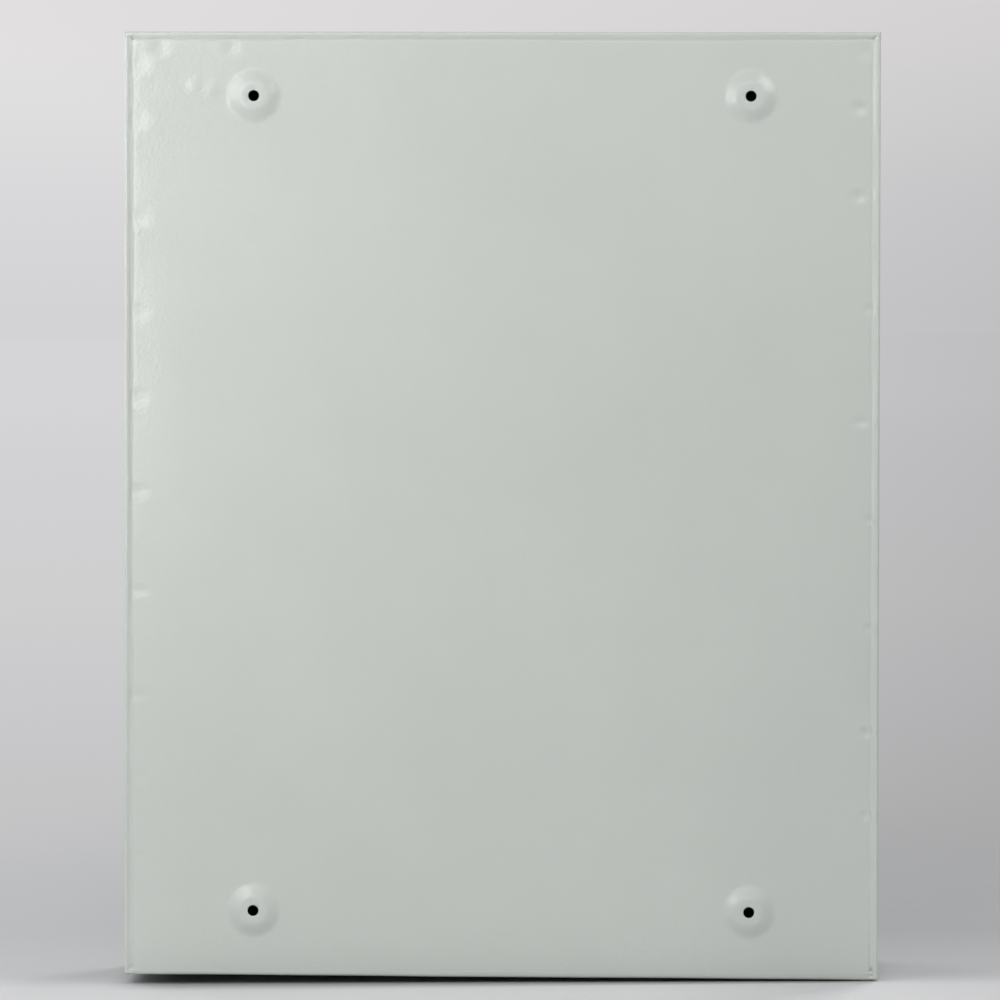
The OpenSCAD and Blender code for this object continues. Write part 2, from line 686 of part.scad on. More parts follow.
// Leaf on the door, with the middle knuckle
module door_hinge_leaves() color(steel) for (z = hinge_z) translate([0, 0, z]) {
    knuckle(-knuckle_half, knuckle_half);
    difference() {
        slab([hinge_x + 0.9, trim_y - 1, -hinge_half], [emboss_lo.x - 1.5, trim_y, hinge_half]);
        top_and_bottom() slab([hinge_x, trim_y - 2, knuckle_half], [hinge_x + 3.4, trim_y + 1, hinge_half + 1]);
        rod_z(knuckle_r - 0.6, -hinge_half - 1, hinge_half + 1, hinge_x, hinge_y);
    }
}

module hinge_pins() color(zinc) for (z = hinge_z) {
    rod_z(pin_r, z - hinge_half - 0.4, z + hinge_half + 0.1, hinge_x, hinge_y);
    rod_z(knuckle_r - 0.3, z + hinge_half + 0.1, z + hinge_half + 1.6, hinge_x, hinge_y);
}

// Bezel on the door's face, and the channel behind the door that the slider runs in
module latch_housing() color(moulding) {
    difference() {
        along_y(trim_y - 1.8, trim_y) translate([107, 0]) rounded_rect(30, 24, 3);
        along_y(trim_y - 3, trim_y + 1) translate([107, 0]) rounded_rect(22, 10.4, 1.5);
    }
    difference() {
        slab([93, trim_y + sheet_t, -10.6], [122, trim_y + 6.2, 10.6]);
        slab([92, trim_y + sheet_t - 1, -8.3], [123, trim_y + 4.6, 8.3]);
    }
}

// Flat slider with a thumb grip; its end goes behind the trim when it is moved out
module latch_slider() color(phenolic) {
    slab([92, trim_y + sheet_t + 0.3, -8], [door_x - 0.3, trim_y + 4.4, 8]);
    slab([97.2, trim_y - 3, -4.8], [109.4, trim_y + sheet_t + 1, 4.8]);
    for (x = [99.2 : 2.6 : 108]) slab([x, trim_y - 3.8, -4.8], [x + 1.2, trim_y - 2, 4.8]);
}

module directory_card() color([0.95, 0.95, 0.92])
    slab([-92, trim_y + 0.2, -128], [68, trim_y + 0.5, 92]);

// ---------- nodes ----------

back_panel();
side_wall();  // left_side_wall
mirror([1, 0, 0]) side_wall();  // right_side_wall
end_wall();  // top_end_wall
mirror([0, 0, 1]) end_wall();  // bottom_end_wall
side_knockouts();
end_knockouts();
interior_studs();
interior_nuts();
interior_pan();
bus_insulator();
bus_bar_a();
bus_bar_b();
bus_bolts();
main_breaker_case();
main_breaker_handle();
main_lugs();
main_lug_screws();
for (b = breakers) {
    place(b) breaker_case(b[3]);
    place(b) breaker_handle(b[3]);
}
breaker_line_jaws();
breaker_load_lugs();
breaker_load_screws();
mirror([1, 0, 0]) neutral_bar();  // neutral_bar_left
neutral_bar();  // neutral_bar_right
neutral_cross_strap();
neutral_main_lug();
neutral_screws();
neutral_insulators();
ground_bar();
ground_bar_screws();
bonding_strap();
bonding_nut();
front_trim();
trim_screws();
dead_front();
dead_front_rivets();
filler_plates();
door();
trim_hinge_leaves();
door_hinge_leaves();
hinge_pins();
latch_housing();
latch_slider();
directory_card();
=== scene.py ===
import math

import bmesh
import bpy
import numpy as np
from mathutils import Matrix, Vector


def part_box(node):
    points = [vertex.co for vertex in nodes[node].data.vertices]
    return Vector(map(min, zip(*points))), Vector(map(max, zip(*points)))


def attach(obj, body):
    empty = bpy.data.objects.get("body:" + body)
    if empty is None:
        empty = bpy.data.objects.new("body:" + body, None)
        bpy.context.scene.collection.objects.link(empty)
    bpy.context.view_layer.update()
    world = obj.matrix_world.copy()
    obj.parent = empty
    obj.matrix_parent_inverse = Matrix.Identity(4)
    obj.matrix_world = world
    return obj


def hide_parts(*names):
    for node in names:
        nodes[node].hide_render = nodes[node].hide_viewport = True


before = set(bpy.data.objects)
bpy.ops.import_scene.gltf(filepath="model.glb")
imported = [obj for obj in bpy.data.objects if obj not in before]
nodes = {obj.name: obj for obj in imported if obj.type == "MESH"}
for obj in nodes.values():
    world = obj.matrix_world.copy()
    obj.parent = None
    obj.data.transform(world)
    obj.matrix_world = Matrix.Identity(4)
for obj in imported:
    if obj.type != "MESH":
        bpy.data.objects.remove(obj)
bpy.context.view_layer.update()

MM = 0.001


def linear(r, g, b):
    """Screen colour, 0 to 255, as linear colour."""
    out = []
    for c in (r, g, b):
        c = c / 255
        out.append(c / 12.92 if c <= 0.04045 else ((c + 0.055) / 1.055) ** 2.4)
    return (*out, 1.0)


def shaded(colour, factor, lift=0.0):
    """A colour made darker or lighter, and opaque."""
    return [min(1, c * factor + lift) for c in colour[:3]] + [1]


def set_range(node, from_min, from_max, to_min, to_max):
    """Fills in a Map Range node."""
    values = {"From Min": from_min, "From Max": from_max, "To Min": to_min, "To Max": to_max}
    for socket, value in values.items():
        node.inputs[socket].default_value = value


def fill_ramp(ramp, stops):
    """Fills in a colour ramp from (position, colour) pairs. A plain number stands for a grey."""
    while len(ramp.elements) < len(stops):
        ramp.elements.new(0.5)
    for element, (place, colour) in zip(ramp.elements, stops):
        element.position = place
        element.color = colour if hasattr(colour, "__len__") else (colour, colour, colour, 1)


# ---------------------------------------------------------------- materials


class Nodes:
    """Adds nodes to an emptied tree. A source is a pair: a node and the name of one of its outputs."""

    def __init__(self, tree):
        self.tree = tree
        tree.nodes.clear()
        self.coords = self.new("ShaderNodeTexCoord")

    def new(self, kind, **props):
        node = self.tree.nodes.new(kind)
        for key, value in props.items():
            setattr(node, key, value)
        return node

    def join(self, a, socket_a, b, socket_b):
        self.tree.links.new(a.outputs[socket_a], b.inputs[socket_b])

    def ramp(self, source, stops):
        r = self.new("ShaderNodeValToRGB")
        fill_ramp(r.color_ramp, stops)
        self.join(source[0], source[1], r, "Fac")
        return r, "Color"

    def spread(self, source, low, high, a=0.0, b=1.0, smooth=False):
        """Maps a..b of source to low..high."""
        m = self.new("ShaderNodeMapRange", interpolation_type="SMOOTHSTEP" if smooth else "LINEAR")
        set_range(m, a, b, low, high)
        self.join(source[0], source[1], m, "Value")
        return m, "Result"

    def math(self, operation, a, b=None):
        """One sum on a source and on a second source or a plain number."""
        m = self.new("ShaderNodeMath", operation=operation)
        self.join(a[0], a[1], m, 0)
        if isinstance(b, tuple):
            self.join(b[0], b[1], m, 1)
        elif b is not None:
            m.inputs[1].default_value = b
        return m, "Value"

    def mixed(self, factor, a, b, blend="MIX"):
        m = self.new("ShaderNodeMix", data_type="RGBA", blend_type=blend)
        # A Mix node keeps its factor at input 0 and its two colours at 6 and 7; output 2 is a colour
        for index, value in ((0, factor), (6, a), (7, b)):
            if isinstance(value, tuple) and len(value) == 2:
                self.join(value[0], value[1], m, index)
            else:
                m.inputs[index].default_value = value
        return m, 2


class Shader(Nodes):
    """Builds a material round one Principled shader. Coordinates are the object's own, in metres."""

    def __init__(self, name):
        self.mat = bpy.data.materials.new(name)
        self.mat.use_nodes = True
        super().__init__(self.mat.node_tree)
        self.out = self.new("ShaderNodeOutputMaterial")
        self.bsdf = self.new("ShaderNodeBsdfPrincipled")
        self.join(self.bsdf, "BSDF", self.out, "Surface")
        self.last_bump = None

    def put(self, **values):
        for key, value in values.items():
            self.bsdf.inputs[key.replace("_", " ")].default_value = value

    def stretched(self, scale=(1, 1, 1), move=(0, 0, 0)):
        m = self.new("ShaderNodeMapping")
        m.inputs["Scale"].default_value = scale
        m.inputs["Location"].default_value = move
        self.join(self.coords, "Object", m, "Vector")
        return m, "Vector"

    def noise(self, scale, detail=2.0, rough=0.5, source=None, distortion=0.0):
        n = self.new("ShaderNodeTexNoise")
        n.inputs["Scale"].default_value = scale
        n.inputs["Detail"].default_value = detail
        n.inputs["Roughness"].default_value = rough
        n.inputs["Distortion"].default_value = distortion
        src = source or (self.coords, "Object")
        self.join(src[0], src[1], n, "Vector")
        return n, "Fac"

    def cells(self, scale, smooth=0.0, source=None, output="Distance"):
        n = self.new("ShaderNodeTexVoronoi", feature="SMOOTH_F1" if smooth else "F1")
        n.inputs["Scale"].default_value = scale
        if smooth:
            n.inputs["Smoothness"].default_value = smooth
        src = source or (self.coords, "Object")
        self.join(src[0], src[1], n, "Vector")
        return n, output

    def feed(self, source, socket):
        self.join(source[0], source[1], self.bsdf, socket)

    def bump(self, height, depth_mm, strength=1.0):
        """Adds relief of that depth in millimetres."""
        b = self.new("ShaderNodeBump")
        if isinstance(strength, tuple):
            self.join(strength[0], strength[1], b, "Strength")
        else:
            b.inputs["Strength"].default_value = strength
        b.inputs["Distance"].default_value = depth_mm * MM
        self.join(height[0], height[1], b, "Height")
        if self.last_bump:
            self.join(self.last_bump, "Normal", b, "Normal")
        self.last_bump = b
        self.join(b, "Normal", self.bsdf, "Normal")


def powder_coat(name, colour, grain=1.0, rough=0.4, seed=0.0, gloss=0.3, uneven=False, shine=0.5):
    """Stoved powder coat: a fine pebbled skin, a slow drift in tone, and a few specks.

    An uneven coat is coarser towards +X and +Z, where it was laid on more heavily.
    Seed moves the pattern, so that no two coats repeat each other."""
    s = Shader(name)
    place = s.stretched((1, 1, 1), (seed, seed * 0.7, 0))
    drift = s.noise(9, 3, 0.55, place)
    tone = s.ramp(drift, [(0.3, shaded(colour, 0.975)), (0.7, shaded(colour, 1.02))])
    # Specks of dirt, kept only in a few places
    specks = s.cells(310, source=place)
    dots = s.ramp(specks, [(0.035, 1.0), (0.075, 0.0)])
    rarity = s.ramp(s.noise(60, 1, 0.5, place), [(0.68, 0.0), (0.74, 1.0)])
    few = s.mixed(1.0, dots, rarity, "MULTIPLY")
    amount = s.spread(few, 0.0, 0.16)
    coloured = s.mixed(amount, tone, (colour[0] * 0.55, colour[1] * 0.55, colour[2] * 0.5, 1))
    s.feed(coloured, "Base Color")
    sheen = s.noise(38, 4, 0.6, place)
    s.feed(s.spread(sheen, rough - 0.035, rough + 0.035, 0.3, 0.7), "Roughness")
    pebbles = s.cells(600, smooth=0.55, source=place)
    strength = 0.6
    if uneven:
        heavier = s.new("ShaderNodeVectorMath", operation="DOT_PRODUCT")
        heavier.inputs[1].default_value = (1, 0, 0.5)
        s.join(s.coords, "Object", heavier, 0)
        strength = s.spread((heavier, "Value"), 0.42, 1.0, 0.02, 0.18)
    s.bump(pebbles, (0.10 if uneven else 0.085) * grain, strength)
    orange_peel = s.noise(330, 2.5, 0.55, place)
    s.bump(orange_peel, 0.05 * grain, 0.5)
    swell = s.noise(26, 1.5, 0.4, place)
    s.bump(swell, 0.25, 0.35)
    s.join(s.last_bump, "Normal", s.bsdf, "Coat Normal")
    s.put(Metallic=0.0, IOR=1.48, Coat_Weight=gloss, Coat_Roughness=0.23, Specular_IOR_Level=shine)
    return s.mat


def plated(name, colour, rough, streak, streak_depth, spangle=0.0, tarnish=None, mottle=1.0):
    """Bare or plated metal: streaks along the working direction, and dulling in patches.

    Spangle is the contrast of zinc crystals, and mottle the strength of the patches."""
    s = Shader(name)
    fine = s.noise(420, 4, 0.6, s.stretched(streak))
    patch = s.noise(46, 4, 0.62)
    dull, bright = shaded(colour, 1 - 0.14 * mottle), shaded(colour, 1 + 0.06 * mottle)
    base = s.ramp(patch, [(0.32, dull), (0.68, bright)])
    if spangle:
        flakes = s.cells(170, output="Color")
        grey = s.spread(flakes, 1 - spangle, 1 + spangle * 0.3)
        base = s.mixed(1.0, base, grey, "MULTIPLY")
    if tarnish:
        where = s.ramp(s.noise(75, 5, 0.7, distortion=0.6), [(0.5, 0.0), (0.72, 1.0)])
        base = s.mixed(s.spread(where, 0.0, 0.55), base, tarnish)
    s.feed(base, "Base Color")
    handled = s.noise(90, 5, 0.65)
    s.feed(s.spread(handled, rough - 0.09 * mottle, rough + 0.12 * mottle, 0.3, 0.7), "Roughness")
    s.bump(fine, streak_depth, 0.6)
    s.bump(s.noise(140, 2, 0.5), 0.02 * mottle, 0.35)
    s.put(Metallic=1.0)
    return s.mat


def moulded(name, colour, rough, grain, fleck=0.0):
    """Moulded plastic: fine spark texture, a little drift in gloss, faint flow marks."""
    s = Shader(name)
    flow = s.noise(34, 3, 0.6, s.stretched((1, 1, 2.5)), 0.8)
    base = s.ramp(flow, [(0.3, shaded(colour, 0.82)), (0.72, shaded(colour, 1.2, 0.002))])
    if fleck:
        dots = s.ramp(s.cells(900), [(0.08, 1.0), (0.16, 0.0)])
        base = s.mixed(s.spread(dots, 0.0, fleck), base, (0.35, 0.35, 0.36, 1))
    s.feed(base, "Base Color")
    s.feed(s.spread(s.noise(55, 4, 0.6), rough - 0.06, rough + 0.08, 0.3, 0.7), "Roughness")
    s.bump(s.noise(1500, 2, 0.6), grain, 0.6)
    s.bump(s.noise(80, 2, 0.5), 0.03, 0.25)
    s.put(Metallic=0.0, IOR=1.5)
    return s.mat


def lacquered(name, colour):
    """Coloured lacquer over a plated nut, thin enough to show the plating's streaks."""
    s = Shader(name)
    base = s.ramp(s.noise(300, 4, 0.6), [(0.35, shaded(colour, 0.7)), (0.7, shaded(colour, 1.25))])
    s.feed(base, "Base Color")
    s.feed(s.spread(s.noise(200, 3), 0.25, 0.42, 0.3, 0.7), "Roughness")
    s.bump(s.noise(500, 3, 0.6), 0.01, 0.5)
    s.put(Metallic=0.35, Coat_Weight=0.5, Coat_Roughness=0.2)
    return s.mat


def paper(name):
    """Matt white card with a soft fibre."""
    s = Shader(name)
    fibre = s.noise(900, 5, 0.7, s.stretched((1, 1, 0.3)))
    base = s.ramp(fibre, [(0.3, linear(226, 225, 217)), (0.7, linear(240, 239, 232))])
    s.feed(base, "Base Color")
    s.feed(s.spread(s.noise(60, 3), 0.72, 0.86, 0.3, 0.7), "Roughness")
    s.bump(fibre, 0.02, 0.5)
    return s.mat


def ink(name, colour):
    """Printed or filled marking, with slightly uneven cover."""
    rough = 0.5
    s = Shader(name)
    base = s.ramp(s.noise(700, 3, 0.6), [(0.3, shaded(colour, 0.85)), (0.7, shaded(colour, 1.1))])
    s.feed(base, "Base Color")
    s.feed(s.spread(s.noise(300, 3), rough - 0.06, rough + 0.06, 0.3, 0.7), "Roughness")
    s.bump(s.noise(1100, 2), 0.004, 0.5)
    return s.mat


SKIN = linear(203, 208, 202)
shell_paint = powder_coat("box_powder_coat", SKIN, 1.0, 0.35, 0.0, 0.75, True)
wall_paint = powder_coat("wall_powder_coat", SKIN, 1.0, 0.5, 1.7, 0.0, shine=0.22)
front_paint = powder_coat("front_powder_coat", SKIN, 0.9, 0.4, 3.1)
inner_paint = powder_coat("dead_front_powder_coat", linear(198, 203, 200), 0.8, 0.42, 5.7)
galvanised = plated("galvanised_sheet", (0.60, 0.61, 0.62, 1), 0.4, (1, 1, 1), 0.006, 0.28)
zinc = plated("zinc_plate", (0.66, 0.67, 0.68, 1), 0.33, (1, 1, 6), 0.006)
steel = plated("bright_steel", (0.58, 0.585, 0.6, 1), 0.3, (4, 4, 1), 0.006)
hinge_steel = plated("hinge_steel", (0.70, 0.705, 0.71, 1), 0.4, (5, 5, 0.5), 0.005, mottle=0.25)
TIN = (0.74, 0.74, 0.72, 1)
OLD_TIN = (0.45, 0.44, 0.42, 1)
tin = plated("tinned_bar", TIN, 0.36, (8, 8, 0.6), 0.008, 0.0, OLD_TIN)
tin_long = plated("tinned_bar_across", TIN, 0.36, (0.6, 8, 8), 0.008, 0.0, OLD_TIN)
copper = plated("bare_copper", (0.80, 0.46, 0.31, 1), 0.3, (6, 6, 1), 0.006, 0.0, (0.34, 0.17, 0.11, 1))
phenolic = moulded("black_phenolic", (0.018, 0.018, 0.02, 1), 0.4, 0.012, 0.12)
toggle_black = moulded("black_toggle", (0.010, 0.010, 0.011, 1), 0.3, 0.006)
dark_grey = moulded("dark_grey_moulding", (0.050, 0.052, 0.058, 1), 0.46, 0.014)
mid_grey = moulded("grey_insulator", (0.16, 0.165, 0.17, 1), 0.5, 0.016)
green = lacquered("green_lacquer", (0.02, 0.26, 0.08, 1))
card = paper("directory_card_paper")
white_ink = ink("white_marking", linear(222, 222, 218))
black_ink = ink("black_marking", linear(42, 43, 45))

# ---------------------------------------------------------------- pieces carried over


def dress(names, material, edge, segments=2):
    """Gives CAD pieces a material, and edges softened by that many millimetres."""
    for name in names:
        o = nodes[name]
        o.data.materials.clear()
        o.data.materials.append(material)
        weld = o.modifiers.new("weld", "WELD")
        weld.merge_threshold = 2e-6
        flat = o.modifiers.new("flat", "DECIMATE")
        flat.decimate_type = "DISSOLVE"
        flat.angle_limit = math.radians(0.6)
        if edge:
            bevel = o.modifiers.new("edges", "BEVEL")
            bevel.width = edge * MM
            bevel.segments = segments
            bevel.limit_method = "ANGLE"
            bevel.angle_limit = math.radians(32)
            bevel.use_clamp_overlap = True
            bevel.harden_normals = False
        even = o.modifiers.new("even", "WEIGHTED_NORMAL")
        even.keep_sharp = False
        even.weight = 80


dress(["left_side_wall", "right_side_wall", "top_end_wall", "bottom_end_wall"], wall_paint, 0.3)
dress(["side_knockouts", "end_knockouts"], wall_paint, 0.12)
dress(["front_trim"], front_paint, 0.5, segments=3)
dress(["door"], front_paint, 0.4, segments=3)
dress(["dead_front"], inner_paint, 0.35)
dress(["interior_pan"], galvanised, 0.2)
dress(["interior_studs", "interior_nuts", "hinge_pins", "dead_front_rivets"], zinc, 0.25)
dress(["bus_bolts", "main_lug_screws", "breaker_load_screws", "neutral_screws", "ground_bar_screws",
       "trim_screws"], steel, 0.2)
dress(["trim_hinge_leaves", "door_hinge_leaves"], hinge_steel, 0.18)
dress(["bus_bar_a", "bus_bar_b", "main_lugs", "breaker_load_lugs", "neutral_bar_left",
       "neutral_bar_right", "neutral_main_lug"], tin, 0.3)
dress(["ground_bar", "neutral_cross_strap"], tin_long, 0.25)
dress(["breaker_line_jaws", "bonding_strap"], copper, 0.15)
dress(["bus_insulator", "neutral_insulators"], mid_grey, 0.4)
dress(["filler_plates", "latch_housing"], dark_grey, 0.35)
dress(["main_breaker_case"], phenolic, 0.6, segments=3)
dress([n for n in nodes if n.startswith("breaker_") and n.endswith("_case")], phenolic, 0.5, segments=3)
dress([n for n in nodes if n.endswith("_handle")], toggle_black, 0.4, segments=3)
dress(["latch_slider"], toggle_black, 0.3)
dress(["bonding_nut"], green, 0.25)
dress(["directory_card"], card, 0)

# ---------------------------------------------------------------- back panel

# Everything about the panel is in millimetres. Y is 0 at the wall and falls towards the front.
panel_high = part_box("back_panel")[1]
HALF_W, HALF_H = panel_high.x / MM, panel_high.z / MM
PLATE = -2.6                     # the panel's outer face
SHEET = 1.2                      # its thickness
INNER = PLATE - SHEET            # its inner face
DEEPEST = INNER + 0.05           # no dent goes further
SOFT_END = 0.3                   # how gently a dent reaches that depth
CREST = -2.12                    # the top of the painted rim
HOLE_X, HOLE_Z, HOLE_R = 119.0, 195.5, 2.6
HOLE_LIP = 0.45                  # radius of the turned edge of a hole
PATCH = 16.0                     # half a side of the square round each hole that has its own mesh
BLEND_IN, BLEND_OUT = 5.9, 13.4  # radii where a boss ends and where the flat sheet begins
BOSS_RADII = (4.3, 5.0, 5.7, 6.3, 6.9, 7.5, 8.2, 8.9, 9.6, 10.3, 11.0, 11.7, 12.4, 13.1, 14.0)
ROUND = 0.9                      # radius of the sheet's outer edge
ROLLED_ROUND = 1.5               # the same on the rolled edge, on the +X side
DRESSED = 38                     # how far up from the lower edge the sheet is dressed
KNOCKS = ((139.5, 198.5, 0.52), (147.5, 200.5, 0.50))  # a double knock near a corner: x, z, height
KNOCK_SIZE = 3.6
COLLAR, COLLAR_AT = 0.2, 1.75    # a raised ring round each weld: share of its depth, place in its sizes
ROLL_REACH = 11                  # how far in from the edge the roll is felt
CURL, CURL_REACH = 0.16, 4.5     # how far the edge curls away from the wall, and how far in
CREEP = 1.1                      # how far a weld spreads the edge, for each millimetre of its depth
CUT_EDGE = 0.6                   # how far the cut lower edge turns in
TUCK = 1.1                       # and how far up it is tucked

# Spot welds that hold the panel to the flanges behind it: (x, z, depth, size along x, size along z).
# First those on the +X side, wide above the middle and narrower below it.
welds = []
for i, z in enumerate((211, 184, 137, 92, 51, 6)):
    welds.append((HALF_W - 2.6 + 0.4 * math.sin(2.1 * i), z, 0.46 - 0.015 * i, 4.7, 4.7 - 0.3 * i))
for i, z in enumerate((-42, -92, -131, -170)):
    welds.append((HALF_W - 3.2 + 0.5 * math.sin(2.1 * i), z, 0.42, 4.2, 2.5))
# The -X side, where some welds sit well in from the edge
for i, z in enumerate((190, 148, 94, 40, -7, -59, -109, -149)):
    inward = (7.0, 7.0, 2.2, 5.5, 1.6, 1.6, 2.8, 3.6)[i]
    size_x = 3.2 if inward > 5 else 2.0
    size_z = 2.5 if i < 2 else 1.9
    welds.append((inward - HALF_W, z, 0.68 + 0.06 * math.sin(2.3 * i), size_x, size_z))
# The upper edge, and one more near its end
for i, x in enumerate((164, 130, 98, 71, 47)):
    welds.append((x, HALF_H - 3.6, 0.43 - 0.03 * i, 3.8 - 0.25 * i, 3.7))
welds.append((4.5 - HALF_W, HALF_H - 6, 0.4, 3.0, 3.0))


def smooth_step(t):
    """0 below 0, 1 above 1, and an even S between."""
    t = np.clip(t, 0, 1)
    return t * t * (3 - 2 * t)


def plain_height(x, z):
    """Y of the panel's outer face without its bosses, for arrays x and z."""
    y = np.full_like(x, PLATE)
    for wx, wz, depth, size_x, size_z in welds:
        d = np.hypot((x - wx) / size_x, (z - wz) / size_z)
        y -= depth * np.exp(-d * d * 1.1)
        y += COLLAR * depth * np.exp(-((d - COLLAR_AT) ** 2) * 2.2)
    # Slack in a thin sheet, and a shallow knock near one corner
    y += 0.10 * np.sin(x / 47 + 0.6) * np.sin(z / 61 + 0.9)
    y += 0.06 * np.sin(x / 23 - z / 71 + 2.0) * np.cos(z / 35)
    for kx, kz, knock in KNOCKS:
        y += knock * np.exp(-(((x - kx) / KNOCK_SIZE) ** 2 + ((z - kz) / KNOCK_SIZE) ** 2))
    # One long edge is rolled back a little, most of all above the middle
    roll = 0.08 + 0.36 * smooth_step((z + 120) / 170) - 0.34 * smooth_step((z - 70) / 90)
    y -= roll * np.exp(-(((HALF_W - x) / ROLL_REACH) ** 2))
    # The edge curls away from the wall between welds
    for along, u, size in ((z, HALF_W - np.abs(x), 1.0), (x, HALF_H - np.abs(z), 0.5)):
        y -= size * CURL * np.exp(-((u / CURL_REACH) ** 2)) * (0.6 + 0.4 * np.sin(along / 7.6 + 1.0))
    # The lower edge is dressed up over the rim, with a faint crease along it
    y += (CREST - PLATE) * smooth_step(1 - (z + HALF_H) / DRESSED)
    y -= 0.05 * np.exp(-(((z + HALF_H - 1.6) / 0.7) ** 2))
    # The sheet never dents through its own thickness
    limit = DEEPEST + SOFT_END * np.exp(np.minimum(y - DEEPEST - SOFT_END, 0) / SOFT_END)
    y = np.where(y < DEEPEST + SOFT_END, limit, y)
    for u, size in ((HALF_W - x, ROLLED_ROUND), (HALF_W + x, ROUND), (HALF_H - np.abs(z), ROUND)):
        near = np.clip(1 - u / size, 0, 1)
        y = INNER + (y - INNER) * np.sqrt(1 - near * near)
    return y


def height(x, z):
    """The same with its four bosses, which rise smoothly from the sheet to the wall."""
    y = plain_height(x, z)
    for sx in (-1, 1):
        for sz in (-1, 1):
            r = np.hypot(x - sx * HOLE_X, z - sz * HOLE_Z)
            t = np.clip((r - BLEND_IN) / (BLEND_OUT - BLEND_IN), 0, 1)
            s = 0.2 * t + 0.8 * smooth_step(t)
            y = np.where(r < BLEND_OUT + 0.01, y * s, y)
    return np.minimum(y, 0)


def steps(stops):
    """Positions from a list of (end, spacing), starting at 0."""
    out = [0.0]
    for end, spacing in stops:
        n = max(1, round((end - out[-1]) / spacing))
        start = out[-1]
        out += [start + (end - start) * (k + 1) / n for k in range(n)]
    return out


def mirrored(half):
    """The same positions on both sides of 0."""
    return np.array([-v for v in reversed(half[1:])] + half)


def over(x):
    """How far the lower edge reaches past its CAD outline: over the rim, and more towards -X."""
    return 4.7 - 0.65 * x / HALF_W


def wandering_edge(x, z):
    """Lets the sheared edge of the sheet wander, and creep outward where a weld has spread it."""
    new = []
    for across, along, half in ((x, z, HALF_W), (z, x, HALF_H)):
        creep = 0.22 * np.sin(along / 31 + 1.2) + 0.12 * np.sin(along / 11.5 + across / half)
        for wx, wz, depth, _, _ in welds:
            w_across, w_along = (wx, wz) if half == HALF_W else (wz, wx)
            if half - abs(w_across) < 8:
                same = np.sign(across) == np.sign(w_across)
                creep += np.where(same, CREEP * depth * np.exp(-(((along - w_along) / 5.5) ** 2)), 0)
        if half == HALF_H:
            creep = creep * np.where(across < 0, 0.3, 1) + np.where(across < 0, over(along), 0)
        pull = smooth_step((np.abs(across) - half + 7) / 7)
        new.append(across + np.sign(across) * creep * pull)
    return new


def grid_quads(index):
    """Faces of a grid of vertex numbers."""
    return np.stack([index[:-1, :-1], index[:-1, 1:], index[1:, 1:], index[1:, :-1]], -1)


def strip_quads(one, two):
    """Faces between two closed rows of vertex numbers."""
    return np.stack([one, two, np.roll(two, -1), np.roll(one, -1)], -1)


def square_ring(index, ix, iz):
    """Vertex numbers round the square that spans columns ix and rows iz of a grid."""
    ring = [index[i, iz[0]] for i in ix[:-1]] + [index[ix[-1], j] for j in iz[:-1]]
    ring += [index[i, iz[-1]] for i in ix[:0:-1]] + [index[ix[0], j] for j in iz[:0:-1]]
    return np.array(ring)


